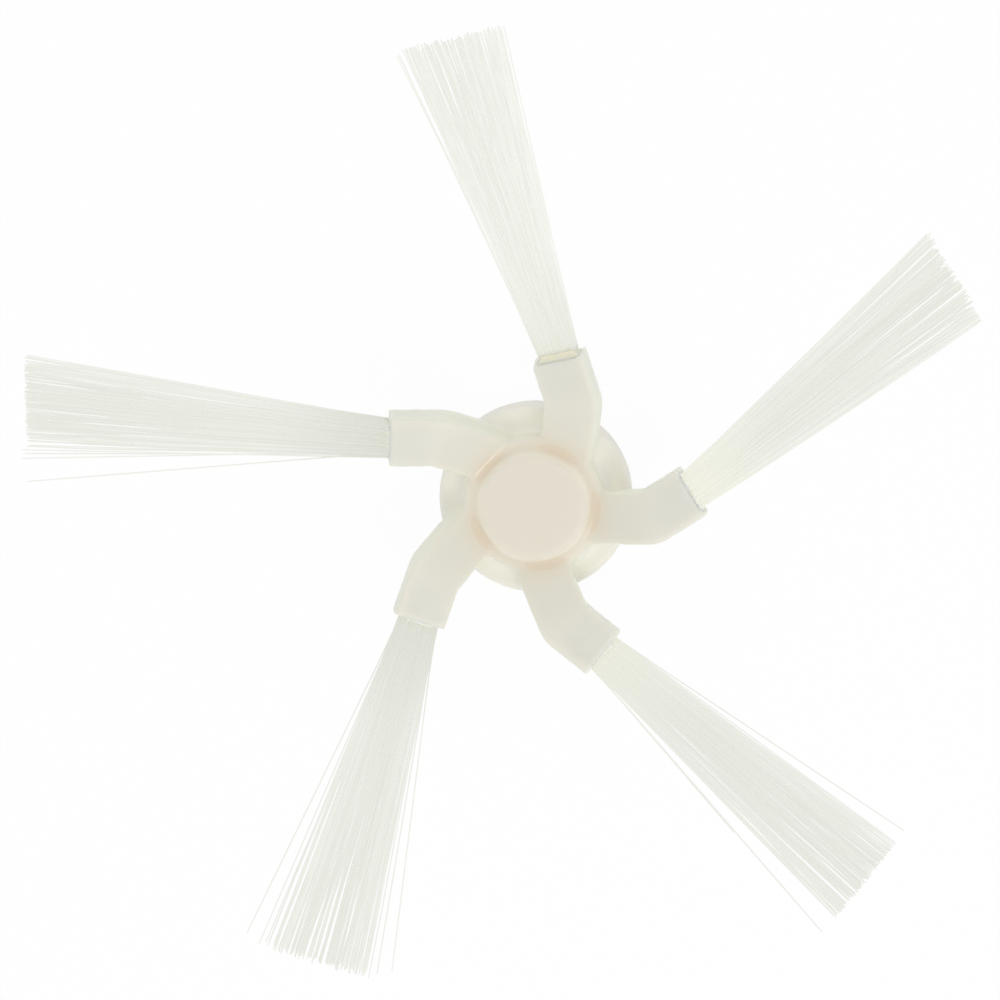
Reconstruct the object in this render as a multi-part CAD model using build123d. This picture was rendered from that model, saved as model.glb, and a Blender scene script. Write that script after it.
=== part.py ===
from build123d import *
from math import cos, radians, sin, sqrt, tan
import os

# Side brush of a robot vacuum: a moulded hub with five swept arms and a glued bristle tuft in each arm.
# Millimetres. The brush lies with its closed boss up (+Z, towards the floor in use) and its drive side
# down. The origin is on the drive axis, at the mouth of the drive bore. +X runs along the first arm.

# Flange, seat and boss
FLANGE_DIAMETER = 28.3
FLANGE_HEIGHT = 4.0       # from the resting rim up to the upper face of the disc
FLANGE_PLATE = 1.6        # thickness of the disc
FLANGE_EDGE = 0.6         # bevel of the upper outer edge
SKIRT_WALL = 1.5
SEAT_DIAMETER = 20.2      # round step under the boss that carries the arms, at its top
SEAT_DRAFT = 8.0          # degrees, each side
BOSS_TOP_DIAMETER = 16.0
BOSS_RISE = 5.0           # boss top above the disc
BOSS_DRAFT = 10.0         # degrees, each side
BOSS_EDGE = 0.5           # bevel of the rim
BOSS_ROOF = 1.8           # closed end above the drive bore
GROOVE_DEPTH = 1.4        # boss top above the seat
GROOVE_FLOOR = 0.95       # flat width between the boss and the roots of the arms
GROOVE_DRAFT = 25.0       # degrees, outer wall

# Drive side
COLLAR_DIAMETER = 13.0
BORE_DIAMETER = 6.0
KEY_WIDTH = 1.6
KEY_DEPTH = 0.9           # beyond the bore wall
RIB_THICKNESS = 1.2
RIB_SETBACK = 0.6         # ribs end this far above the resting rim

# Arms
ARM_COUNT = 5
ARM_WIDTH = 7.8
ARM_THICKNESS = 4.4
ARM_OFFSET = 2.1          # the inner run passes beside the drive axis
ARM_ROOT = 4.5            # start of the inner run, inside the boss
ARM_REACH = 17.1          # drive axis to the elbow
ARM_END = 7.1             # elbow to the end face
ARM_TURN = 29.0           # degrees at the elbow, in plan
ARM_SLOPE = 35.0          # degrees, inner run
ARM_END_SLOPE = 14.0      # degrees, outer run
ARM_ROLL = 8.0            # degrees about the inner run
ARM_EDGE = 0.5            # rounding of the upper edges
ELBOW_RISE = 6.6          # middle of the elbow above the disc
ELBOW_OUTER_RADIUS = 5.0
ELBOW_INNER_RADIUS = 0.9
CREASE_RADIUS = 7.0       # bend of the arm in side view, at its middle
ROOT_FLARE = 2.6          # fillet of the arm's sides into the seat, in plan
ROOT_SINK = 0.8           # the flared sides end this far inside the seat

# Sockets and glue
SOCKET_WIDTH = 6.0
SOCKET_HEIGHT = 2.8
SOCKET_DEPTH = 5.6
GLUE_WALL = 0.3

# Bristles
TUFT_LENGTH = 51.3        # arm end to the longest tips
TUFT_TIP_WIDTH = 14.6
TUFT_TIP_HEIGHT = 4.4
TUFT_RISE = 7.0           # degrees above the axis of the socket
TUFT_LEANS = (6.4, -1.7, -11.4, 1.0, -1.2)  # degrees, the sideways set of each tuft
TUFT_RAGGEDNESS = 0.8     # spread of the bristle lengths
RAGGED_LEVELS = 11        # different bristle lengths in a tuft
RAGGED_COLUMN_STEP = 7    # levels from one column to the next
RAGGED_ROW_STEP = 5       # levels from one row to the next
FILAMENT_RADIUS = 0.13    # axis to corner
FILAMENT_SIDES = 3
FILAMENT_GRIP = 0.3       # overlap of a filament with the packed root
FILAMENT_COLUMNS = 13
FILAMENT_ROWS = 4

BOSS_TOP = FLANGE_HEIGHT + BOSS_RISE
SEAT_TOP = BOSS_TOP - GROOVE_DEPTH
FLARE_RADIUS = SEAT_DIAMETER / 2 - ROOT_SINK
BORE_DEPTH = BOSS_TOP - BOSS_ROOF
PLATE_UNDERSIDE = FLANGE_HEIGHT - FLANGE_PLATE
PLATE_MIDDLE = FLANGE_HEIGHT - FLANGE_PLATE / 2
SKIRT_INNER_RADIUS = FLANGE_DIAMETER / 2 - SKIRT_WALL
ROOT_WIDTH = SOCKET_WIDTH - 2 * GLUE_WALL
ROOT_HEIGHT = SOCKET_HEIGHT - 2 * GLUE_WALL
ROOT_DEPTH = SOCKET_DEPTH - GLUE_WALL
ARM_PITCH = 360 / ARM_COUNT
ARM_OVERCUT = 2 * ARM_WIDTH
ARM_PLACE = Pos(ARM_REACH, -ARM_OFFSET, FLANGE_HEIGHT + ELBOW_RISE) * Rot(X=-ARM_ROLL)
STANDING = (Align.CENTER, Align.CENTER, Align.MIN)


def hub():
    """Turned form of the hub: the seat that carries the arms, disc with its skirt, and the drive collar."""
    flange_radius = FLANGE_DIAMETER / 2
    collar_radius = COLLAR_DIAMETER / 2
    seat_radius = SEAT_DIAMETER / 2
    seat_foot = seat_radius + (SEAT_TOP - FLANGE_HEIGHT) * tan(radians(SEAT_DRAFT))
    outline = Polyline(
        (0, 0),
        (collar_radius, 0),
        (collar_radius, PLATE_UNDERSIDE),
        (SKIRT_INNER_RADIUS, PLATE_UNDERSIDE),
        (SKIRT_INNER_RADIUS, 0),
        (flange_radius, 0),
        (flange_radius, FLANGE_HEIGHT),
        (seat_foot, FLANGE_HEIGHT),
        (seat_radius, SEAT_TOP),
        (0, SEAT_TOP),
        close=True,
    )
    profile = make_face(outline)
    profile = chamfer(profile.vertices().sort_by_distance((flange_radius, FLANGE_HEIGHT))[0], FLANGE_EDGE)
    return revolve(Plane.XZ * profile, Axis.Z)


def boss_recess():
    """Round space above the seat that cuts back the roots of the arms and so leaves the groove."""
    floor_radius = BOSS_TOP_DIAMETER / 2 + GROOVE_DEPTH * tan(radians(BOSS_DRAFT)) + GROOVE_FLOOR
    height = GROOVE_DEPTH + ARM_THICKNESS
    rim_radius = floor_radius + height * tan(radians(GROOVE_DRAFT))
    return Pos(0, 0, SEAT_TOP) * Cone(floor_radius, rim_radius, height, align=STANDING)


def boss():
    """Closed button in the middle of the recess, standing on the disc, with a bevelled rim."""
    top_radius = BOSS_TOP_DIAMETER / 2
    foot_radius = top_radius + BOSS_RISE * tan(radians(BOSS_DRAFT))
    button = Pos(0, 0, FLANGE_HEIGHT) * Cone(foot_radius, top_radius, BOSS_RISE, align=STANDING)
    return chamfer(button.edges().sort_by(Axis.Z)[-1], BOSS_EDGE)


def drive_bore():
    """Blind round bore with two opposite keyways, open at the drive side."""
    keyway = Rectangle(BORE_DIAMETER + 2 * KEY_DEPTH, KEY_WIDTH)
    return extrude(Circle(BORE_DIAMETER / 2) + keyway, BORE_DEPTH)


def ribs():
    """Stiffening ribs under the disc, one below each arm, from the collar to the skirt."""
    inner = (COLLAR_DIAMETER / 2 + BORE_DIAMETER / 2) / 2
    outer = SKIRT_INNER_RADIUS + SKIRT_WALL / 2
    corner = (Align.MIN, Align.CENTER, Align.MIN)
    rib = Box(outer - inner, RIB_THICKNESS, PLATE_MIDDLE - RIB_SETBACK, align=corner)
    return [Rot(Z=index * ARM_PITCH) * Pos(inner, 0, RIB_SETBACK) * rib for index in range(ARM_COUNT)]


def dog_leg(width, run, end, turn, outer_radius, inner_radius):
    """Flat band of one width that follows two straight runs and turns left at the origin."""
    half = width / 2
    mitre = half * tan(radians(turn / 2))
    along = Vector(cos(radians(turn)), sin(radians(turn)))
    aside = Vector(-along.Y, along.X) * half
    inner = Vector(-mitre, half)
    outer = Vector(mitre, -half)
    tip = along * end
    outline = Polyline((-run, half), inner, tip + aside, tip - aside, outer, (-run, -half), close=True)
    band = make_face(outline)
    band = fillet(band.vertices().sort_by_distance(inner)[0], inner_radius)
    return fillet(band.vertices().sort_by_distance(outer)[0], outer_radius)


def arm_plan():
    """One arm from above: a dog-leg band whose sides flare into the round of the seat."""
    run = ARM_REACH - ARM_ROOT
    end = ARM_END + ARM_OVERCUT
    band = dog_leg(ARM_WIDTH, run, end, ARM_TURN, ELBOW_OUTER_RADIUS, ELBOW_INNER_RADIUS)
    plan = band + Pos(-ARM_REACH, ARM_OFFSET) * Circle(FLARE_RADIUS)
    for y in (ARM_WIDTH / 2, -ARM_WIDTH / 2):
        corner = (sqrt(FLARE_RADIUS**2 - (y - ARM_OFFSET) ** 2) - ARM_REACH, y)
        plan = fillet(plan.vertices().sort_by_distance(corner)[0], ROOT_FLARE)
    return plan


def arm_side():
    """One arm from the side: a band that climbs steeply from the disc and levels out past the elbow."""
    lower_radius = CREASE_RADIUS - ARM_THICKNESS / 2
    upper_radius = CREASE_RADIUS + ARM_THICKNESS / 2
    end = ARM_END + ARM_OVERCUT
    bend = ARM_END_SLOPE - ARM_SLOPE
    return Rot(Z=ARM_SLOPE) * dog_leg(ARM_THICKNESS, 2 * ARM_REACH, end, bend, lower_radius, upper_radius)


def arm_end_plane():
    """End face of an arm in the arm's own frame: +Z out along the bristles, +X to the arm's left."""
    heading = Vector(cos(radians(ARM_TURN)), sin(radians(ARM_TURN)))
    climb = Vector(0, 0, heading.X * tan(radians(ARM_END_SLOPE)))
    upward = Vector(-sin(radians(ARM_END_SLOPE)), 0, cos(radians(ARM_END_SLOPE)))
    outward = (heading + climb).normalized()
    return Plane((heading + climb) * ARM_END, x_dir=upward.cross(outward), z_dir=outward)


def arm():
    """One arm: its plan cut by its side view, squared off at the end and rounded along its upper rim.

    The arm's own frame has its origin in the middle of the elbow and +X along the inner run. The three
    faces that look up most are the tops of the inner run, the crease and the outer run.
    """
    column = extrude(arm_plan(), 2 * (ARM_REACH + ARM_OVERCUT), both=True)
    slab = extrude(Plane.XZ * arm_side(), ARM_OVERCUT, both=True)
    body = split(column & slab, arm_end_plane(), keep=Keep.BOTTOM)
    faces = body.faces().sort_by(lambda face: face.normal_at(face.center()).Z)
    rim = faces[-3:].edges() & faces[:-3].edges()
    flare_end = FLARE_RADIUS + ROOT_FLARE - ARM_REACH
    body = fillet(rim.filter_by(lambda edge: edge.center().X > flare_end), ARM_EDGE)
    return split(ARM_PLACE * body, Plane.XY.offset(PLATE_MIDDLE), keep=Keep.TOP)


def socket_plane(index):
    """Mouth of one arm's socket, in the middle of its end face."""
    return Plane(Location((0, 0, 0), (0, 0, index * ARM_PITCH)) * ARM_PLACE * arm_end_plane().location)


def socket(index):
    """Pocket for one tuft and its glue."""
    return extrude(socket_plane(index) * Rectangle(SOCKET_WIDTH, SOCKET_HEIGHT), -SOCKET_DEPTH)


def packed_root(index):
    """Block of bonded filaments at the bottom of one tuft."""
    return extrude(socket_plane(index) * Rectangle(ROOT_WIDTH, ROOT_HEIGHT), -ROOT_DEPTH)


def hub_and_arms():
    """The one-piece moulding: hub, arms, ribs and the boss in its groove, less the sockets and the bore."""
    body = arm()
    arms = [Rot(Z=index * ARM_PITCH) * body for index in range(ARM_COUNT)]
    moulding = hub() + arms + ribs() - boss_recess() + boss()
    return moulding - [socket(index) for index in range(ARM_COUNT)] - drive_bore()


def adhesive_plug(index):
    """Cured glue that lines one socket round the packed root of its tuft."""
    return socket(index) - packed_root(index)


def filament_length(column, row):
    """Length of one filament past the arm end, stepped so that neighbours end raggedly."""
    level = (RAGGED_COLUMN_STEP * column + RAGGED_ROW_STEP * row) % RAGGED_LEVELS
    return TUFT_LENGTH - TUFT_RAGGEDNESS * level / RAGGED_LEVELS


def bristle_tuft(index):
    """One tuft: filaments bonded into a block inside the socket, which fan out to ragged tips."""
    mouth = socket_plane(index)
    column_pitch = ROOT_WIDTH / FILAMENT_COLUMNS
    row_pitch = ROOT_HEIGHT / FILAMENT_ROWS
    lean = TUFT_LEANS[index % len(TUFT_LEANS)]
    heading = Vector(tan(radians(lean)), tan(radians(TUFT_RISE)), 1)
    filaments = []
    for column in range(FILAMENT_COLUMNS):
        for row in range(FILAMENT_ROWS):
            x = (column - (FILAMENT_COLUMNS - 1) / 2) * column_pitch
            y = (row - (FILAMENT_ROWS - 1) / 2) * row_pitch
            length = filament_length(column, row)
            fan = length / TUFT_LENGTH
            x_spread = fan * (TUFT_TIP_WIDTH / ROOT_WIDTH - 1)
            y_spread = fan * (TUFT_TIP_HEIGHT / ROOT_HEIGHT - 1)
            start = Vector(x, y, -FILAMENT_GRIP)
            tip = heading * length + Vector(x + x * x_spread, y + y * y_spread)
            section = mouth * Pos(start) * RegularPolygon(FILAMENT_RADIUS, FILAMENT_SIDES)
            run = mouth.from_local_coords(tip) - mouth.from_local_coords(start)
            filaments.append(Solid.extrude(section.face(), run))
    return packed_root(index) + filaments


os.makedirs("parts", exist_ok=True)
export_step(hub_and_arms(), "parts/hub_and_arms.step")
for number in range(ARM_COUNT):
    export_step(bristle_tuft(number), f"parts/bristle_tuft_{number + 1}.step")
    export_step(adhesive_plug(number), f"parts/adhesive_plug_{number + 1}.step")
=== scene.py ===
"""Looks of a robot vacuum side brush: a translucent moulded hub with swept arms and fanned nylon tufts."""
import logging
from dataclasses import dataclass
from enum import Enum
from typing import Any, Dict, Sequence, Tuple, Union

import bpy
import numpy as np
from mathutils import Matrix, Vector


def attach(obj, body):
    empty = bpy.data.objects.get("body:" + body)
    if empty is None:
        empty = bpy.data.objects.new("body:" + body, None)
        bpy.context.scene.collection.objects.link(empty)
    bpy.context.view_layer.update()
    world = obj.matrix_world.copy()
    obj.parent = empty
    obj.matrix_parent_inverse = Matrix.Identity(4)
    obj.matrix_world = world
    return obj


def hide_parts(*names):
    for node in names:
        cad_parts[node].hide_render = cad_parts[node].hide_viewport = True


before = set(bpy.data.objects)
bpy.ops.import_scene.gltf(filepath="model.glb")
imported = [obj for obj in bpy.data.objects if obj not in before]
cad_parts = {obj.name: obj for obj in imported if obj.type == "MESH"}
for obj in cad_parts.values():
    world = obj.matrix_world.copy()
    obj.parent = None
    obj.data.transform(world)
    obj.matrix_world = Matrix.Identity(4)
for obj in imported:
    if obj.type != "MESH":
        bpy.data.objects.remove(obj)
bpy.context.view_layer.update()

BODY = "root"
MM = 0.001
WHITE = (1.0, 1.0, 1.0, 1.0)
LOG = logging.getLogger("side_brush")

Colour = Tuple[float, float, float]
Array = np.ndarray
Socket = bpy.types.NodeSocket
Shaded = Union[bpy.types.Material, bpy.types.World]


class Slot(Enum):
    """Material slots of the record."""

    MOULDING = "moulding"
    BRISTLE = "bristle"
    ADHESIVE = "adhesive"


def turn_about_z(degrees: float) -> Array:
    """Rotation matrix about +Z.

    Args:
        degrees: Angle, counted anticlockwise from above.

    Returns:
        Three by three matrix for column vectors.
    """
    c, s = np.cos(np.radians(degrees)), np.sin(np.radians(degrees))
    return np.array([[c, -s, 0.0], [s, c, 0.0], [0.0, 0.0, 1.0]])


def turn_about_x(degrees: float) -> Array:
    """Rotation matrix about +X.

    Args:
        degrees: Angle, by the right-hand rule.

    Returns:
        Three by three matrix for column vectors.
    """
    c, s = np.cos(np.radians(degrees)), np.sin(np.radians(degrees))
    return np.array([[1.0, 0.0, 0.0], [0.0, c, -s], [0.0, s, c]])


def add_object(name: str, data: bpy.types.ID) -> bpy.types.Object:
    """Adds an object to the scene, at the origin.

    Args:
        name: Name of the object.
        data: Its mesh, lamp or camera.

    Returns:
        The new object.
    """
    added = bpy.data.objects.new(name, data)
    bpy.context.scene.collection.objects.link(added)
    return added


def new_piece(name: str, vertices: Array, faces: Sequence[Array], smooth: bool) -> bpy.types.Object:
    """Makes a mesh object at the origin and adds it to the scene.

    Args:
        name: Name of the object and its mesh.
        vertices: Points of shape (count, 3), in millimetres.
        faces: Arrays of vertex numbers, each of shape (faces, corners).
        smooth: Whether the faces are shaded as one smooth surface.

    Returns:
        The new object.
    """
    loops = np.concatenate([part.ravel() for part in faces])
    totals = np.concatenate([np.full(len(part), part.shape[1]) for part in faces])
    mesh = bpy.data.meshes.new(name)
    mesh.vertices.add(len(vertices))
    mesh.vertices.foreach_set("co", (vertices * MM).astype(np.float32).ravel())
    mesh.loops.add(len(loops))
    mesh.loops.foreach_set("vertex_index", loops.astype(np.int32))
    mesh.polygons.add(len(totals))
    mesh.polygons.foreach_set("loop_start", (np.cumsum(totals) - totals).astype(np.int32))
    mesh.polygons.foreach_set("loop_total", totals.astype(np.int32))
    mesh.update(calc_edges=True)
    mesh.validate()
    if smooth:
        mesh.shade_smooth()
    else:
        mesh.shade_flat()
    return add_object(name, mesh)


def paint(piece: bpy.types.Object, finish: bpy.types.Material) -> None:
    """Makes a finish the only material of a piece."""
    piece.data.materials.clear()
    piece.data.materials.append(finish)


def settle(piece: bpy.types.Object, finish: bpy.types.Material) -> None:
    """Gives a new piece its finish and the body that it rides on.

    Args:
        piece: The new piece.
        finish: Its material.
    """
    paint(piece, finish)
    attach(piece, BODY)
    LOG.info("%s built with %d faces in %s", piece.name, len(piece.data.polygons), finish.name)


class NodeGraph:
    """Small helper that adds shader nodes to one material or world and links them."""

    def __init__(self, owner: Shaded, output: str) -> None:
        """Empties the owner's nodes and adds an output.

        Args:
            owner: The new material or world.
            output: Blender's type name of its output node.
        """
        self.owner = owner
        self.owner.use_nodes = True
        self.tree = self.owner.node_tree
        self.tree.nodes.clear()
        self.output = self.tree.nodes.new(output)

    @classmethod
    def of_material(cls, name: str) -> "NodeGraph":
        """Starts a new material of that name."""
        return cls(bpy.data.materials.new(name), "ShaderNodeOutputMaterial")

    @classmethod
    def of_world(cls, name: str) -> "NodeGraph":
        """Starts a new world of that name."""
        return cls(bpy.data.worlds.new(name), "ShaderNodeOutputWorld")

    def add(self, kind: str, inputs: Dict[Union[str, int], Any], **settings: Any) -> bpy.types.Node:
        """Adds one node.

        Args:
            kind: Blender's type name of the node.
            inputs: Socket name or number to a value, or to another node's output socket.
            settings: Properties of the node itself.

        Returns:
            The new node.
        """
        node = self.tree.nodes.new(kind)
        for key, value in settings.items():
            setattr(node, key, value)
        for key, value in inputs.items():
            if isinstance(value, Socket):
                self.tree.links.new(value, node.inputs[key])
            else:
                node.inputs[key].default_value = value
        return node

    def place(self) -> Socket:
        """Gives the place on the piece, in metres."""
        return self.add("ShaderNodeTexCoord", {}).outputs["Object"]

    def attribute(self, name: str) -> Socket:
        """Reads a value that the points of the piece carry."""
        return self.add("ShaderNodeAttribute", {}, attribute_name=name).outputs["Fac"]

    def noise(self, scale: float, detail: float, source: Socket) -> Socket:
        """Adds a noise pattern.

        Args:
            scale: Cells in a metre.
            detail: Octaves.
            source: Coordinates that it reads.

        Returns:
            The pattern's value, about 0 to 1.
        """
        node = self.add("ShaderNodeTexNoise", {"Scale": scale, "Detail": detail, "Vector": source})
        return node.outputs["Fac"]

    def ramp(self, value: Socket, low: float, high: float) -> Socket:
        """Stretches a value smoothly so that low becomes 0 and high becomes 1, held at both ends.

        Args:
            value: The value to stretch.
            low: Value that gives 0.
            high: Value that gives 1.

        Returns:
            The stretched value.
        """
        inputs = {"Value": value, "From Min": low, "From Max": high}
        return self.add("ShaderNodeMapRange", inputs, interpolation_type="SMOOTHSTEP").outputs["Result"]

    def math(self, operation: str, first: Any, second: Any = 0.0) -> Socket:
        """Adds a math node.

        Args:
            operation: Blender's name of the operation.
            first: First value or socket.
            second: Second value or socket, where the operation takes one.

        Returns:
            The result.
        """
        return self.add("ShaderNodeMath", {0: first, 1: second}, operation=operation).outputs["Value"]

    def blend(self, share: Socket, first: Any, second: Any) -> Socket:
        """Mixes two colours.

        Args:
            share: Share of the second colour, 0 to 1.
            first: Colour or socket at share 0.
            second: Colour or socket at share 1.

        Returns:
            The mixed colour.
        """
        node = self.add("ShaderNodeMix", {}, data_type="RGBA")
        sockets = [s for s in node.inputs if s.enabled]
        self.tree.links.new(share, sockets[0])
        for socket, value in zip(sockets[1:], (first, second)):
            if isinstance(value, Socket):
                self.tree.links.new(value, socket)
            else:
                socket.default_value = (*value, 1.0)
        return next(s for s in node.outputs if s.enabled)

    def seen_directly(self) -> Socket:
        """Finds whether a ray comes from the camera, a reflection or a clear piece.

        Returns:
            One for such a ray, and 0 for light that falls on a surface.
        """
        rays = self.add("ShaderNodeLightPath", {}).outputs
        seen = self.math("MAXIMUM", rays["Is Camera Ray"], rays["Is Glossy Ray"])
        return self.math("MAXIMUM", seen, rays["Is Transmission Ray"])

    def finish(self, surface: Socket) -> Shaded:
        """Links the surface shader to the output and gives the material or world."""
        self.tree.links.new(surface, self.output.inputs["Surface"])
        return self.owner


@dataclass(frozen=True)
class MouldedPlastic:
    """Warm white polypropylene, slightly translucent. The amber in the groove where each arm starts is
    painted warm shade, and the disc, the boss's wall and the arms' sides carry painted light.

    Radii and heights are in metres, from the drive axis and from the resting rim. The side limits are the
    upward part of a face's normal where the painted light on the arms' sides starts and where it is full.
    The glow colour is how far red, green and blue light go inside, as shares of the glow depth.
    """

    name: str = "moulded_polypropylene"
    colour: Colour = (0.775, 0.755, 0.665)
    pale_colour: Colour = (0.80, 0.785, 0.705)
    boss_colour: Colour = (0.80, 0.755, 0.66)
    # painted light: the thin disc is painted paler, most near the boss, to lift the shade between and under
    # the arms
    painted_light_disc: Colour = (0.98, 0.955, 0.86)
    painted_light_rim: Colour = (0.86, 0.845, 0.765)
    # painted light: the boss's wall is painted paler to lift the shade that falls on it
    painted_light_wall: Colour = (0.90, 0.865, 0.76)
    # painted warm shade: the darker, warmer colour of the groove's hollow
    groove_shade_colour: Colour = (0.81, 0.705, 0.55)
    # painted light: the arms' steep sides are painted paler to lift the shade that falls on them
    painted_light_sides: Colour = (0.845, 0.85, 0.74)
    side_flat: float = 0.85
    side_steep: float = 0.35
    glow_colour: Colour = (1.0, 0.93, 0.8)
    glow_depth: float = 1.5 * MM
    glow: float = 0.6
    refraction: float = 1.49
    satin_low: float = 0.36
    satin_high: float = 0.5
    groove_polish: float = 0.6
    boss_radius: float = 7.5 * MM
    wall_radius: float = 8.1 * MM
    groove_radius: float = 8.9 * MM
    groove_outer: float = 10.9 * MM
    groove_shade_outer: float = 13.2 * MM
    groove_shade_level: float = 6.0 * MM
    plate_level: float = 4.0 * MM
    arm_level: float = 6.5 * MM
    arm_count: int = 5
    arm_root: float = -11.0
    groove_shade_between: float = 0.38
    groove_shade_on_arms: float = 0.45
    disc_inner: float = 10.3 * MM
    disc_outer: float = 13.8 * MM
    mottle_scale: float = 260.0
    mottle_detail: float = 3.0
    grain_scale: float = 5200.0
    grain_detail: float = 2.0
    grain_height: float = 0.012 * MM

    def amber(self, graph: NodeGraph, axes: Any, radius: Socket) -> Socket:
        """Finds the share of amber at a point, the painted warm shade of the groove's hollow.

        With r the distance from the drive axis and a the angle round it, the share rises from the boss
        into the groove and falls past it, with a weak tail out along the arms. It is scaled by lobes that
        go with the cosine of the arm count times a, one at the root of each arm, and fades below the arms.

        Args:
            graph: The material's nodes.
            axes: The X, Y and Z outputs of the place.
            radius: Distance from the drive axis.

        Returns:
            The share, 0 to 1.
        """
        rising = graph.ramp(radius, self.boss_radius, self.groove_radius)
        core = graph.ramp(radius, self.groove_outer, self.groove_radius)
        fading = graph.ramp(radius, self.groove_shade_outer, self.groove_radius)
        tail = graph.math("MULTIPLY", fading, self.groove_shade_on_arms)
        ring = graph.math("MULTIPLY", rising, graph.math("MAXIMUM", core, tail))
        angle = graph.math("ARCTAN2", axes["Y"], axes["X"])
        turned = graph.math("SUBTRACT", angle, float(np.radians(self.arm_root)))
        wave = graph.math("COSINE", graph.math("MULTIPLY", turned, self.arm_count))
        lobes = graph.ramp(wave, -1.0, 1.0)
        above = graph.math("MULTIPLY", lobes, 1.0 - self.groove_shade_between)
        lobes = graph.math("ADD", above, self.groove_shade_between)
        height = graph.ramp(axes["Z"], self.plate_level, self.groove_shade_level)
        return graph.math("MULTIPLY", graph.math("MULTIPLY", ring, lobes), height)

    def tone(self, graph: NodeGraph, axes: Any, radius: Socket, mottle: Socket) -> Socket:
        """Finds the colour at a point before the amber, the painted warm shade, is mixed in.

        A broad noise mottles it and the boss is a little pinker. The steep sides of the arms, the thin disc
        and
        the wall of the boss carry painted light: they are painted paler to lift the shade that falls on
        them, standing in for light that comes through them.

        Args:
            graph: The material's nodes.
            axes: The X, Y and Z outputs of the place.
            radius: Distance from the drive axis.
            mottle: The broad noise.

        Returns:
            The colour.
        """
        body = graph.blend(mottle, self.colour, self.pale_colour)
        # painted light on steep faces, read from how far the normal points up
        normal = graph.add("ShaderNodeNewGeometry", {}).outputs["Normal"]
        upward = graph.add("ShaderNodeSeparateXYZ", {"Vector": normal}).outputs["Z"]
        side = graph.ramp(graph.math("ABSOLUTE", upward), self.side_flat, self.side_steep)
        body = graph.blend(side, body, self.painted_light_sides)
        # painted light on the thin disc, paler towards the boss
        outward = graph.ramp(radius, self.disc_inner, self.disc_outer)
        disc = graph.blend(outward, self.painted_light_disc, self.painted_light_rim)
        body = graph.blend(graph.ramp(axes["Z"], self.arm_level, self.plate_level), body, disc)
        body = graph.blend(graph.ramp(radius, self.groove_radius, self.boss_radius), body, self.boss_colour)
        # painted light on the wall of the boss, between the boss and the groove
        inner = graph.ramp(radius, self.boss_radius, self.wall_radius)
        wall = graph.math("MULTIPLY", inner, graph.ramp(radius, self.groove_radius, self.wall_radius))
        return graph.blend(wall, body, self.painted_light_wall)

    def material(self) -> bpy.types.Material:
        """Builds the material.

        The amber, the painted warm shade of the groove's hollow, is mixed into the tone, and the groove is
        smoother than the rest. A fine noise gives the grain.

        Returns:
            The node material.
        """
        graph = NodeGraph.of_material(self.name)
        place = graph.place()
        axes = graph.add("ShaderNodeSeparateXYZ", {"Vector": place}).outputs
        flat = graph.add("ShaderNodeCombineXYZ", {"X": axes["X"], "Y": axes["Y"]}).outputs["Vector"]
        radius = graph.add("ShaderNodeVectorMath", {0: flat}, operation="LENGTH").outputs["Value"]
        amber = self.amber(graph, axes, radius)
        mottle = graph.noise(self.mottle_scale, self.mottle_detail, place)
        grain = graph.noise(self.grain_scale, self.grain_detail, place)
        # the amber share mixes in the painted warm shade of the groove
        colour = graph.blend(amber, self.tone(graph, axes, radius, mottle), self.groove_shade_colour)
        bump = graph.add("ShaderNodeBump", {"Distance": self.grain_height, "Height": grain})
        limits = {"Value": mottle, "To Min": self.satin_low, "To Max": self.satin_high}
        satin = graph.add("ShaderNodeMapRange", limits).outputs["Result"]
        polish = graph.math("SUBTRACT", 1.0, graph.math("MULTIPLY", amber, self.groove_polish))
        inputs = {
            "Base Color": colour,
            "Roughness": graph.math("MULTIPLY", satin, polish),
            "IOR": self.refraction,
            "Subsurface Weight": self.glow,
            "Subsurface Radius": self.glow_colour,
            "Subsurface Scale": self.glow_depth,
            "Normal": bump.outputs["Normal"],
        }
        return graph.finish(graph.add("ShaderNodeBsdfPrincipled", inputs).outputs["BSDF"])


@dataclass(frozen=True)
class NylonFilament:
    """Clear nylon, faintly green, duller or brighter towards the root of a tuft by a tone set for each
    tuft.
    """

    name: str = "clear_nylon"
    colour: Colour = (0.825, 0.84, 0.765)
    bright_colour: Colour = (0.91, 0.92, 0.86)
    dull_root: Colour = (0.755, 0.77, 0.70)
    bright_root: Colour = (0.935, 0.935, 0.83)
    root_reach: float = 0.4
    roughness: float = 0.3
    refraction: float = 1.53

    def material(self) -> bpy.types.Material:
        """Builds the material from three attributes: the filament's tone, its root's and the way along it.

        Returns:
            The node material.
        """
        graph = NodeGraph.of_material(self.name)
        body = graph.blend(graph.attribute("tone"), self.colour, self.bright_colour)
        root = graph.blend(graph.attribute("root"), self.dull_root, self.bright_root)
        root_share = graph.ramp(graph.attribute("along"), self.root_reach, 0.0)
        colour = graph.blend(root_share, body, root)
        inputs = {"Base Color": colour, "Roughness": self.roughness, "IOR": self.refraction}
        return graph.finish(graph.add("ShaderNodeBsdfPrincipled", inputs).outputs["BSDF"])


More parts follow.
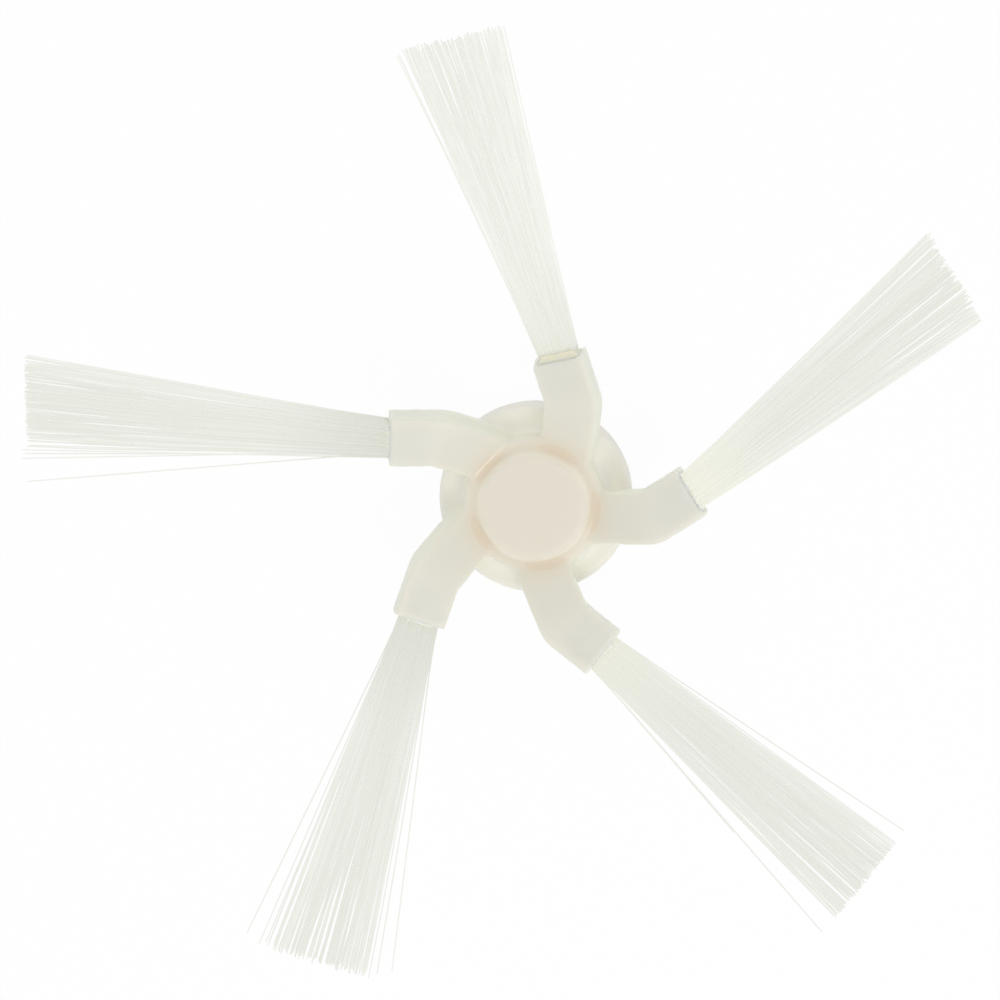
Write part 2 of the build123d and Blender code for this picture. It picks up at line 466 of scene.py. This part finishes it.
@dataclass(frozen=True)
class CuredGlue:
    """Clear glossy glue with small bubbles, from pale straw to amber. Lengths in metres."""

    name: str = "pale_glue"
    colour: Colour = (0.91, 0.90, 0.76)
    bubble_colour: Colour = (0.94, 0.935, 0.83)
    bubble_scale: float = 1800.0
    bubble_detail: float = 2.0
    bubble_low: float = 0.4
    bubble_high: float = 0.7
    roughness: float = 0.2
    refraction: float = 1.5
    glow: float = 0.5
    glow_colour: Colour = (1.0, 0.85, 0.5)
    glow_depth: float = 0.8 * MM

    def material(self) -> bpy.types.Material:
        """Builds the material: a noise of small bubbles lightens the glue.

        Returns:
            The node material.
        """
        graph = NodeGraph.of_material(self.name)
        noise = graph.noise(self.bubble_scale, self.bubble_detail, graph.place())
        bubbles = graph.ramp(noise, self.bubble_low, self.bubble_high)
        inputs = {
            "Base Color": graph.blend(bubbles, self.colour, self.bubble_colour),
            "Roughness": self.roughness,
            "IOR": self.refraction,
            "Subsurface Weight": self.glow,
            "Subsurface Radius": self.glow_colour,
            "Subsurface Scale": self.glow_depth,
        }
        return graph.finish(graph.add("ShaderNodeBsdfPrincipled", inputs).outputs["BSDF"])


@dataclass(frozen=True)
class ArmLayout:
    """Sizes that place the end of each arm, in millimetres and degrees."""

    count: int = 5
    reach: float = 17.1
    offset: float = 2.1
    elbow_height: float = 10.6
    roll: float = 8.0
    end: float = 7.1
    turn: float = 29.0
    end_slope: float = 14.0

    def mouth(self, index: int) -> Tuple[Array, Array]:
        """Places the mouth of one arm's socket.

        The outer run heads off at the turn and climbs by its slope. Its frame is rolled about the inner
        run, moved to the elbow and turned about the drive axis.

        Args:
            index: Number of the arm, from 0.

        Returns:
            The mouth's middle in millimetres, and its axes as rows: left, upward and outward.
        """
        turn, slope = np.radians(self.turn), np.radians(self.end_slope)
        heading = np.array([np.cos(turn), np.sin(turn), np.cos(turn) * np.tan(slope)])
        outward = heading / np.linalg.norm(heading)
        left = np.cross([-np.sin(slope), 0.0, np.cos(slope)], outward)
        left /= np.linalg.norm(left)
        axes = np.stack([left, np.cross(outward, left), outward])
        spin = turn_about_z(index * 360.0 / self.count)
        roll = turn_about_x(-self.roll)
        elbow = np.array([self.reach, -self.offset, self.elbow_height])
        middle = spin @ (elbow + roll @ (heading * self.end))
        return middle, axes @ roll.T @ spin.T


@dataclass
class MouldedHub:
    """The moulding with its edges and seams softened as a mould leaves them. Sizes in millimetres."""

    node: str = "hub_and_arms"
    name: str = "moulded_hub"
    weld: float = 0.002
    grid: float = 0.26
    passes: int = 4
    seam_passes: int = 15
    pull: float = 0.5
    seam_radius: float = 12.5
    seam_fade: float = 2.0
    seam_level: float = 3.2

    def even_mesh(self) -> bpy.types.Mesh:
        """Welds a copy of the CAD solid's loose triangles and meshes it again on an even grid.

        Returns:
            The even mesh.
        """
        copy = add_object("hub_copy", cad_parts[self.node].data.copy())
        copy.modifiers.new("weld", "WELD").merge_threshold = self.weld * MM
        remesh = copy.modifiers.new("even_grid", "REMESH")
        remesh.mode = "VOXEL"
        remesh.voxel_size = self.grid * MM
        evaluated = copy.evaluated_get(bpy.context.evaluated_depsgraph_get())
        even = bpy.data.meshes.new_from_object(evaluated)
        bpy.data.objects.remove(copy)
        return even

    def relax(self, points: Array, edges: Array) -> Array:
        """Rounds edges and fills seams.

        In each pass a vertex moves by the pull towards the mean of its neighbours. The first passes take
        the whole moulding. The later ones are weighted: full near the boss and the roots of the arms,
        fading out with the distance from the drive axis, and nothing below the level of the seams.

        Args:
            points: Vertices of shape (count, 3), in millimetres.
            edges: Vertex numbers of shape (edges, 2).

        Returns:
            The relaxed vertices.
        """
        ends = np.concatenate([edges, edges[:, ::-1]])
        count = len(points)
        degree = np.bincount(ends[:, 0], minlength=count)
        radius = np.hypot(points[:, 0], points[:, 1])
        near = np.clip((self.seam_radius + self.seam_fade - radius) / self.seam_fade, 0.0, 1.0)
        near = np.where(points[:, 2] > self.seam_level, near, 0.0)
        for step in range(self.passes + self.seam_passes):
            weight = 1.0 if step < self.passes else near[:, None]
            sums = np.stack([np.bincount(ends[:, 0], points[ends[:, 1], k], count) for k in range(3)], 1)
            points = points + self.pull * weight * (sums / degree[:, None] - points)
        return points

    def build(self) -> bpy.types.Object:
        """Builds the softened moulding.

        Returns:
            The mesh object, at the origin.
        """
        even = self.even_mesh()
        points = np.empty(3 * len(even.vertices), np.float32)
        even.vertices.foreach_get("co", points)
        edges = np.empty(2 * len(even.edges), np.int32)
        even.edges.foreach_get("vertices", edges)
        relaxed = self.relax(points.reshape(-1, 3).astype(float) / MM, edges.reshape(-1, 2))
        even.vertices.foreach_set("co", (relaxed * MM).astype(np.float32).ravel())
        even.update()
        even.shade_smooth()
        return add_object(self.name, even)

    def dress(self, piece: bpy.types.Object, plastic: bpy.types.Material) -> None:
        """Gives the moulding its finish and sets it in the place of its CAD node."""
        settle(piece, plastic)
        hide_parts(self.node)


@dataclass
class GlueBead:
    """Glue that has risen round the root of one tuft, at the mouth of its arm. Sizes in millimetres."""

    number: int
    arms: ArmLayout
    half_width: float = 3.5
    half_height: float = 1.9
    height: float = 0.8
    inset: float = 1.15
    sink: float = 0.15
    squareness: float = 5.0
    unevenness: float = 0.2
    broad_wave: float = 0.6
    fine_wave: float = 0.4
    around: int = 72
    rings: int = 9

    def build(self) -> bpy.types.Object:
        """Carries a rounded rectangle inward and up a hollow curve and closes it at both ends.

        The outline is (sign(cos a) |cos a|^(2/n), sign(sin a) |sin a|^(2/n)) times the half sizes, less an
        inset that goes with t. The height goes with the square of t, as glue creeps up, and is made uneven
        by two waves in a, of two and five crests. Here n is the squareness, a goes once round and t goes
        from 0 to 1.

        Returns:
            The bead's mesh object, at the origin.
        """
        a = np.arange(self.around)[None, :] * 2 * np.pi / self.around
        t = np.linspace(0.0, 1.0, self.rings)[:, None]
        power = 2.0 / self.squareness
        x = np.sign(np.cos(a)) * np.abs(np.cos(a)) ** power
        y = np.sign(np.sin(a)) * np.abs(np.sin(a)) ** power
        broad = self.broad_wave * np.sin(2 * a + self.number)
        wave = broad + self.fine_wave * np.sin(5 * a + 2 * self.number)
        inset = self.inset * t
        out = self.height * t**2 * (1.0 + self.unevenness * wave) - self.sink
        sheet = np.stack([(self.half_width - inset) * x, (self.half_height - inset) * y, out], -1)
        poles = np.array([[0.0, 0.0, -self.sink], [0.0, 0.0, out[-1].mean()]])
        local = np.concatenate([sheet.reshape(-1, 3), poles])
        index = np.arange(self.rings * self.around).reshape(self.rings, self.around)
        following = np.roll(index, -1, 1)
        quads = np.stack([index[:-1], following[:-1], following[1:], index[1:]], -1).reshape(-1, 4)
        bottom = np.stack([following[0], index[0], np.full(self.around, index.size)], -1)
        top = np.stack([index[-1], following[-1], np.full(self.around, index.size + 1)], -1)
        middle, axes = self.arms.mouth(self.number - 1)
        return new_piece(f"glue_bead_{self.number}", middle + local @ axes, [quads, bottom, top], True)

    def dress(self, piece: bpy.types.Object, glue: bpy.types.Material) -> None:
        """Gives the bead its finish."""
        settle(piece, glue)


@dataclass(frozen=True)
class Stray:
    """A filament that has come out of line: tip offset to the left, tip offset upward and length, in mm."""

    left: float
    upward: float
    length: float


@dataclass(frozen=True)
class TuftSet:
    """How one tuft has set: lean to the left in degrees, length and tip width in mm, tone of root, strays.

    The packing is the share of the socket's height that the filaments take, from the lower wall up.
    """

    lean: float
    length: float
    tip_width: float
    root_tone: float
    strays: Tuple[Stray, ...]
    packing: float = 1.0


@dataclass
class BristleTuft:
    """One tuft of round nylon filaments, packed at the root and fanned in clumps to trimmed tips.

    Sizes are in millimetres and the rise is in degrees. Jitters are shares of a cell, and scatters are
    shares of the block's width and height.
    """

    number: int
    shape: TuftSet
    arms: ArmLayout
    root_width: float = 5.4
    root_height: float = 2.2
    tip_height: float = 4.4
    rise: float = 7.0
    raggedness: float = 1.0
    trim: Tuple[float, float] = (1.2, 3.0)
    depth: float = 1.2
    filament_radius: float = 0.1
    cut_share: float = 0.8
    columns: int = 40
    rows: int = 4
    rings: int = 7
    sides: int = 8
    jitter: float = 0.35
    patchiness: float = 0.5
    clumps: int = 8
    clump_jitter: float = 0.3
    clump_pull: float = 0.06
    fan_scatter: float = 0.02
    lift_scatter: float = 0.12
    bow: float = 0.4
    kink: float = 0.2
    seed: int = 40

    def scatter(self, random: np.random.Generator) -> Tuple[Array, Array]:
        """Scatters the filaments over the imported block, and over the fan in clumps.

        Each filament has a cell of the block, and each row of cells is shifted by its share of a cell. In
        the fan a filament is drawn a little towards the middle of the nearest clump.

        Args:
            random: Source of the chance draws.

        Returns:
            Places in the block and in the fan, of shape (filaments, 2): to the left and upward from the
            middle, as shares of the width and the height.
        """
        count = self.columns * self.rows
        column, row = np.meshgrid(np.arange(self.columns), np.arange(self.rows), indexing="ij")
        shift = (row.ravel() + 0.5) / self.rows
        u = column.ravel() + shift + random.uniform(-self.jitter, self.jitter, count)
        u = u / self.columns - 0.5
        v = row.ravel() + 0.5 + random.uniform(-self.jitter, self.jitter, count)
        v = self.shape.packing * (v / self.rows) - 0.5
        clump = np.arange(self.clumps) + 0.5
        clump = clump + random.uniform(-self.clump_jitter, self.clump_jitter, self.clumps)
        middles = clump / self.clumps - 0.5
        nearest = middles[np.abs(u[:, None] - middles).argmin(1)]
        fan_u = u + self.clump_pull * (nearest - u) + random.normal(0.0, self.fan_scatter, count)
        fan_v = v + random.normal(0.0, self.lift_scatter, count)
        return np.stack([u, v], 1), np.stack([fan_u, fan_v], 1)

    def paths(self) -> Tuple[Array, Array]:
        """Lays out the middle lines of all filaments.

        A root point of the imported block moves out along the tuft's heading. Its distance from the tuft's
        axis grows in step with the way along, from the root's width to the tip's. A bow that goes with the
        way along times the way left, and a smaller wave, bend each filament differently. A stray starts at
        the edge of the block on its own side and runs straight to its tip. Filaments near the edges are
        brighter, with chance patches.

        Returns:
            Points of shape (filaments, rings, 3) in millimetres, and each filament's tone from 0 to 1.
        """
        random = np.random.default_rng(self.seed + self.number)
        block, fan = self.scatter(random)
        count = len(block)
        length = self.shape.length - self.raggedness * random.beta(*self.trim, count)
        bow = random.normal(0.0, self.bow, (count, 2))
        kink = random.normal(0.0, self.kink, (count, 2))
        phase = random.uniform(0.0, 2 * np.pi, count)
        size = np.array([self.root_width, self.root_height])
        tip = fan * (np.array([self.shape.tip_width, self.tip_height]) - size)
        for stray in self.shape.strays:
            pick = random.integers(count)
            block[pick, 0] = np.copysign(0.5, stray.left)
            tip[pick] = (stray.left - block[pick, 0] * self.root_width, stray.upward)
            length[pick] = stray.length
            bow[pick], kink[pick] = 0.0, 0.0
        along = np.linspace(0.0, 1.0, self.rings)[None, :]
        out = -self.depth + along * (length[:, None] + self.depth)
        way = np.clip(out / self.shape.length, 0.0, None)
        wave = np.sin(2 * np.pi * along + phase[:, None]) * way
        heading = np.tan(np.radians([self.shape.lean, self.rise]))
        across = (block * size)[:, None, :] + tip[:, None, :] * way[..., None]
        across = across + heading * np.clip(out, 0.0, None)[..., None]
        across = across + bow[:, None, :] * (way * (way - 1.0))[..., None]
        across = across + kink[:, None, :] * wave[..., None]
        middle, axes = self.arms.mouth(self.number - 1)
        points = middle + np.concatenate([across, out[..., None]], 2) @ axes
        patches = random.uniform(0.0, 1.0, count)
        return points, (1.0 - self.patchiness) * (2.0 * block[:, 0]) ** 2 + self.patchiness * patches

    def build(self) -> bpy.types.Object:
        """Carries a small round section along every filament's path and closes both ends.

        A section's corner is the path point plus the radius times cos(angle) to the left and sin(angle)
        upward. The last ring narrows a little, as cut nylon does.

        Returns:
            The tuft's mesh object, at the origin.
        """
        points, tone = self.paths()
        count = len(points)
        axes = self.arms.mouth(self.number - 1)[1]
        angle = np.arange(self.sides) * 2 * np.pi / self.sides
        section = np.cos(angle)[:, None] * axes[0] + np.sin(angle)[:, None] * axes[1]
        radius = np.full(self.rings, self.filament_radius)
        radius[-1] *= self.cut_share
        vertices = points[:, :, None, :] + radius[None, :, None, None] * section[None, None, :, :]
        index = np.arange(count * self.rings * self.sides).reshape(count, self.rings, self.sides)
        following = np.roll(index, -1, 2)
        quads = np.stack([index[:, :-1], following[:, :-1], following[:, 1:], index[:, 1:]], -1)
        caps = np.concatenate([index[:, 0, ::-1], index[:, -1]])
        faces = [quads.reshape(-1, 4), caps]
        piece = new_piece(f"bristles_{self.number}", vertices.reshape(-1, 3), faces, False)
        along = np.broadcast_to(np.linspace(0.0, 1.0, self.rings)[None, :, None], index.shape)
        tones = np.broadcast_to(tone[:, None, None], index.shape)
        roots = np.full(index.shape, self.shape.root_tone)
        for name, values in (("along", along), ("tone", tones), ("root", roots)):
            attribute = piece.data.attributes.new(name, "FLOAT", "POINT")
            attribute.data.foreach_set("value", values.astype(np.float32).ravel())
        return piece

    def dress(self, piece: bpy.types.Object, nylon: bpy.types.Material) -> None:
        """Gives the tuft its finish and sets it in the place of its CAD node.

        Clear nylon lets light through to what lies behind it, so the filaments cast no shade.

        Args:
            piece: The tuft.
            nylon: Its material.
        """
        settle(piece, nylon)
        piece.visible_shadow = False
        piece.visible_diffuse = False
        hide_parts(f"bristle_tuft_{self.number}")


@dataclass
class Brush:
    """The whole brush: the softened moulding, the glue and the five tufts, each as it has set."""

    arms: ArmLayout = ArmLayout()
    plastic: MouldedPlastic = MouldedPlastic()
    nylon: NylonFilament = NylonFilament()
    pale_glue: CuredGlue = CuredGlue()
    amber_glue: CuredGlue = CuredGlue("amber_glue", (0.88, 0.83, 0.64), (0.90, 0.865, 0.71))
    amber_glue_arm: int = 2
    tufts: Tuple[TuftSet, ...] = (
        TuftSet(lean=6.4, length=50.4, tip_width=14.4, root_tone=1.0, strays=(Stray(-6.5, 0.2, 50.4),)),
        TuftSet(
            lean=-1.7,
            length=50.7,
            tip_width=15.6,
            root_tone=0.25,
            strays=(Stray(-7.9, 0.3, 50.9),),
            packing=0.6,
        ),
        TuftSet(
            lean=-10.6,
            length=51.8,
            tip_width=13.0,
            root_tone=0.0,
            strays=(
                Stray(7.6, 0.0, 52.5),
                Stray(8.5, 0.4, 52.0),
                Stray(10.0, -0.3, 52.5),
                Stray(13.4, 0.2, 51.7),
            ),
        ),
        TuftSet(
            lean=1.0,
            length=51.5,
            tip_width=15.0,
            root_tone=0.1,
            strays=(
                Stray(-11.6, 0.0, 50.2),
                Stray(-9.3, 0.4, 51.1),
                Stray(9.2, 0.2, 50.9),
                Stray(11.6, -0.3, 50.0),
            ),
        ),
        TuftSet(
            lean=-2.4,
            length=49.9,
            tip_width=13.5,
            root_tone=0.75,
            strays=(
                Stray(9.0, 0.2, 49.7),
                Stray(-9.8, 0.3, 49.5),
                Stray(-6.9, -0.2, 49.3),
                Stray(-10.1, 0.5, 30.8),
            ),
        ),
    )

    def dress_cad(self, node: str, finish: bpy.types.Material) -> None:
        """Puts a finish on a CAD node.

        Args:
            node: Name of the node.
            finish: Its material.
        """
        paint(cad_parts[node], finish)
        LOG.info("%s dressed in %s", node, finish.name)

    def build(self) -> None:
        """Builds and dresses every piece in order."""
        hub = MouldedHub()
        hub.dress(hub.build(), self.plastic.material())
        nylon = self.nylon.material()
        pale = self.pale_glue.material()
        amber = self.amber_glue.material()
        for number, shape in enumerate(self.tufts, start=1):
            glue = amber if number == self.amber_glue_arm else pale
            self.dress_cad(f"adhesive_plug_{number}", glue)
            bead = GlueBead(number, self.arms)
            bead.dress(bead.build(), glue)
            tuft = BristleTuft(number, shape, self.arms)
            tuft.dress(tuft.build(), nylon)


@dataclass(frozen=True)
class SoftBox:
    """One square lamp that faces the brush: its middle and side in millimetres, and its power in watts."""

    name: str
    place: Tuple[float, float, float]
    size: float
    power: float

    def build(self) -> None:
        """Hangs the lamp."""
        data = bpy.data.lights.new(self.name, "AREA")
        data.shape = "SQUARE"
        data.size = self.size * MM
        data.energy = self.power
        back = Vector(self.place)
        facing = back.to_track_quat("Z", "Y").to_matrix().to_4x4()
        add_object(self.name, data).matrix_world = Matrix.Translation(back * MM) @ facing


@dataclass
class PhotoStage:
    """Pale floor, soft light and the camera at the photograph's angle. Angles in degrees, sizes in mm."""

    tilt: float = 14.3
    azimuth: float = 75.0
    spin: float = 4.5
    level: float = 4.0
    distance: float = 586.0
    frame_width: float = 146.5
    right_shift: float = -5.157
    sensor: float = 36.0
    nearest: float = 10.0
    farthest: float = 10000.0
    floor_size: float = 3000.0
    floor_colour: Colour = (0.94, 0.94, 0.935)
    floor_white: float = 0.94
    sky_strength: float = 0.84
    lamps: Tuple[SoftBox, ...] = (
        SoftBox("soft_box_near", place=(220.0, -400.0, 560.0), size=200.0, power=0.75),
        SoftBox("soft_box_far", place=(-60.0, 500.0, 320.0), size=200.0, power=0.12),
    )

    def camera(self) -> None:
        """Sets the camera.

        It leans from straight above towards the azimuth, without rolling, and is then spun about +Z.
        """
        tilt, azimuth = np.radians(self.tilt), np.radians(self.azimuth)
        lean = Matrix.Rotation(float(tilt), 3, Vector((-np.sin(azimuth), np.cos(azimuth), 0.0)))
        turn = Matrix.Rotation(float(-np.radians(self.spin)), 3, "Z") @ lean
        data = bpy.data.cameras.new("camera")
        data.sensor_width = self.sensor
        data.lens = self.sensor * self.distance / self.frame_width
        data.clip_start = self.nearest * MM
        data.clip_end = self.farthest * MM
        target = Vector((0.0, 0.0, self.level)) + turn @ Vector((self.right_shift, 0.0, 0.0))
        place = target + turn @ Vector((0.0, 0.0, self.distance))
        camera = add_object("camera", data)
        camera.matrix_world = Matrix.Translation(place * MM) @ turn.to_4x4()
        bpy.context.scene.camera = camera

    def floor(self) -> None:
        """Lays the floor: pale and matt, lifted to white for the camera while it keeps a soft shadow."""
        half = self.floor_size / 2 * MM
        mesh = bpy.data.meshes.new("floor")
        corners = [(-half, -half, 0), (half, -half, 0), (half, half, 0), (-half, half, 0)]
        mesh.from_pydata(corners, [], [(0, 1, 2, 3)])
        floor = add_object("floor", mesh)
        graph = NodeGraph.of_material("pale_floor")
        matt = graph.add("ShaderNodeBsdfDiffuse", {"Color": (*self.floor_colour, 1.0)}).outputs["BSDF"]
        white = graph.add("ShaderNodeEmission", {"Color": WHITE, "Strength": 1.0}).outputs["Emission"]
        share = graph.math("MULTIPLY", graph.seen_directly(), self.floor_white)
        mixed = graph.add("ShaderNodeMixShader", {"Fac": share, 1: matt, 2: white})
        mesh.materials.append(graph.finish(mixed.outputs["Shader"]))

    def sky(self) -> None:
        """Lights the scene evenly from all round, and shows white to the camera and in reflections."""
        graph = NodeGraph.of_world("studio")
        light = graph.add("ShaderNodeBackground", {"Color": WHITE, "Strength": self.sky_strength})
        white = graph.add("ShaderNodeBackground", {"Color": WHITE, "Strength": 1.0})
        inputs = {
            "Fac": graph.seen_directly(),
            1: light.outputs["Background"],
            2: white.outputs["Background"],
        }
        mixed = graph.add("ShaderNodeMixShader", inputs)
        bpy.context.scene.world = graph.finish(mixed.outputs["Shader"])

    def build(self) -> None:
        """Sets the stage."""
        self.camera()
        self.floor()
        self.sky()
        for lamp in self.lamps:
            lamp.build()
        bpy.context.scene.view_settings.view_transform = "Standard"


def main() -> None:
    """Builds the brush and its stage, and reports each piece."""
    logging.basicConfig(level=logging.INFO, format="%(name)s: %(message)s")
    Brush().build()
    PhotoStage().build()


if __name__ == "__main__":
    main()
